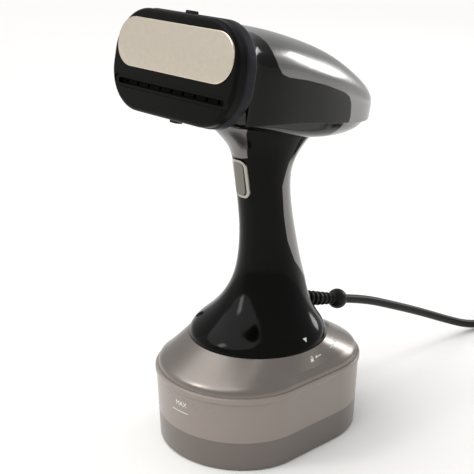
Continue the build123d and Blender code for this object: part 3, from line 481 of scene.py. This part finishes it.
def lettering(word, height):
    """A word as a flat mesh, centred, in mm."""
    curve = bpy.data.curves.new(word, "FONT")
    curve.body = word
    curve.size = height
    curve.align_x = "CENTER"
    curve.align_y = "CENTER"
    curve.resolution_u = 4
    text = bpy.data.objects.new(word, curve)
    bpy.context.scene.collection.objects.link(text)
    bpy.context.view_layer.update()
    mesh = bpy.data.meshes.new_from_object(text.evaluated_get(bpy.context.evaluated_depsgraph_get()))
    bpy.data.objects.remove(text)
    work = bmesh.new()
    work.from_mesh(mesh)
    bpy.data.meshes.remove(mesh)
    return work


def outlines(shapes):
    """Flat faces from closed outlines, in mm."""
    work = bmesh.new()
    for shape in shapes:
        work.faces.new([work.verts.new((x, y, 0)) for x, y in shape])
    return work


def print_mark(name, work, skin, place, normal, turn=0.0):
    """Lays a flat mark on a casing along the normal and gives it the thickness of an ink film."""
    out = Vector(normal).normalized()
    side = Vector((0, 0, 1)).cross(out).normalized()
    rise = out.cross(side)
    c, s = math.cos(math.radians(turn)), math.sin(math.radians(turn))
    bmesh.ops.remove_doubles(work, verts=work.verts, dist=1e-4)
    bmesh.ops.triangulate(work, faces=work.faces)
    for _ in range(SPLITS):
        long = [edge for edge in work.edges if edge.calc_length() > INK_STEP]
        bmesh.ops.subdivide_edges(work, edges=long, cuts=1)
        bmesh.ops.triangulate(work, faces=work.faces)
    for vert in work.verts:
        x, y = c * vert.co.x - s * vert.co.y, s * vert.co.x + c * vert.co.y
        begin = (Vector(place) + side * x + rise * y) * MM + out * RAY_START
        found, hit, _, _ = SKINS[skin].ray_cast(begin, -out)
        vert.co = hit - out * INK_SUNK * INK_THICK * MM if found else begin - out * RAY_START
    top = bmesh.ops.extrude_face_region(work, geom=work.faces[:])
    for item in top["geom"]:
        if isinstance(item, bmesh.types.BMVert):
            item.co += out * INK_THICK * MM
    bmesh.ops.recalc_face_normals(work, faces=work.faces)
    mesh = bpy.data.meshes.new(name)
    work.to_mesh(mesh)
    work.free()
    mark = bpy.data.objects.new(name, mesh)
    bpy.context.scene.collection.objects.link(mark)
    paint(mark, FINISH["ink"])
    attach(mark, NODES[skin]["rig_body"])


LINE_HALF, LINE_THICK, LINE_POINTS = 7.3, 0.22, 11


def fill_line():
    """Outline of the line under the fill mark, with points enough to follow the tank's nose."""
    step = 2 * LINE_HALF / (LINE_POINTS - 1)
    return [[(-LINE_HALF + step * k, -LINE_THICK) for k in range(LINE_POINTS)]
            + [(LINE_HALF - step * k, LINE_THICK) for k in range(LINE_POINTS)]]


def print_marks():
    """The pointer on the handle, the two lock signs on the shoulder and the fill mark on the wall."""
    bpy.context.view_layer.update()
    print_mark("pointer_mark", outlines([POINTER]), "handle_shell_right",
               (43.3, 1.3, 76.4), (0.8, 0.02, 0.6))
    print_mark("locked_mark", outlines(padlock(0.0)), "tank_top", (48.3, 2.5, 64.3), (0.96, 0.01, 0.29))
    print_mark("locked_arrow", outlines([ARROW]), "tank_top", (48.0, 8.5, 64.4), (0.94, 0.05, 0.33))
    print_mark("unlocked_mark", outlines(padlock(0.7)), "tank_top",
               (40.6, 31.9, 66.0), (0.55, 0.34, 0.76))
    print_mark("unlocked_arrow", outlines([ARROW]), "tank_top",
               (44.7, 25.5, 65.0), (0.72, 0.23, 0.65), 180)
    print_mark("fill_word", lettering("MAX", 4.6), "tank_body", (3.1, -70.6, 40.5), (0.04, -1, -0.04))
    print_mark("fill_line", outlines(fill_line()), "tank_body", (1.6, -70.2, 34.8), (0.0, -1, -0.04))


print_marks()


# ---------------------------------------------------------------- stage
FLOOR_HALF = 9              # m


def make_stage():
    """A pale floor that runs on into the distance, under plain soft studio light."""
    finish, tree, shader = material("studio_paper", Roughness=0.9)
    place = node(tree, "ShaderNodeTexCoord")
    fibre = node(tree, "ShaderNodeTexNoise", {"Vector": place.outputs["Object"]}, in_Scale=600.0)
    tone = node(tree, "ShaderNodeMix", {"Factor": fibre.outputs["Fac"]}, data_type="RGBA",
                in_6=linear("#F6F5F3"), in_7=linear("#FBFAF8"))
    tree.links.new(tone.outputs[2], shader.inputs["Base Color"])
    corners = [(x * FLOOR_HALF, y * FLOOR_HALF, 0) for x, y in ((-1, -1), (1, -1), (1, 1), (-1, 1))]
    floor = new_mesh("floor", corners, [(0, 1, 2, 3)], smooth=False)
    paint(floor, finish)


def aim(lamp, place, target):
    """Stands a lamp at a place, pointed at a target."""
    lamp.location = place
    lamp.rotation_euler = (Vector(target) - Vector(place)).to_track_quat("-Z", "Y").to_euler()
    bpy.context.scene.collection.objects.link(lamp)


def soft_box(name, place, target, size, power, tint=(1, 1, 1)):
    """A soft box that lights the object and shows in its gloss, but not in the picture."""
    data = bpy.data.lights.new(name, "AREA")
    data.shape = "RECTANGLE"
    data.size, data.size_y = size
    data.energy = power
    data.color = tint
    lamp = bpy.data.objects.new(name, data)
    lamp.visible_camera = False
    aim(lamp, place, target)


def light_scene():
    """Even surroundings, a broad soft top light, and three soft boxes for the gloss."""
    world = bpy.data.worlds.new("studio")
    bpy.context.scene.world = world
    world.use_nodes = True
    back = next(n for n in world.node_tree.nodes if n.type == "BACKGROUND")
    back.inputs["Color"].default_value = (1, 1, 1, 1)
    back.inputs["Strength"].default_value = 0.6
    top = bpy.data.lights.new("top_light", "SUN")
    top.energy = 1.6
    top.angle = math.radians(65)
    aim(bpy.data.objects.new("top_light", top), (-0.5, -0.7, 1.6), (0, 0, 0.1))
    soft_box("left_box", (-0.98, -0.86, 0.48), (0, -0.05, 0.26), (0.9, 0.8), 0.55, (1.0, 0.98, 0.95))
    soft_box("back_strip", (0.06, 1.5, 0.58), (0.03, 0, 0.25), (0.35, 0.45), 5.0)
    soft_box("small_key", (-0.35, -0.75, 0.75), (0, 0, 0.1), (0.16, 0.3), 1.6)


bpy.context.scene.view_settings.view_transform = "Standard"
make_stage()
light_scene()
bpy.context.view_layer.update()
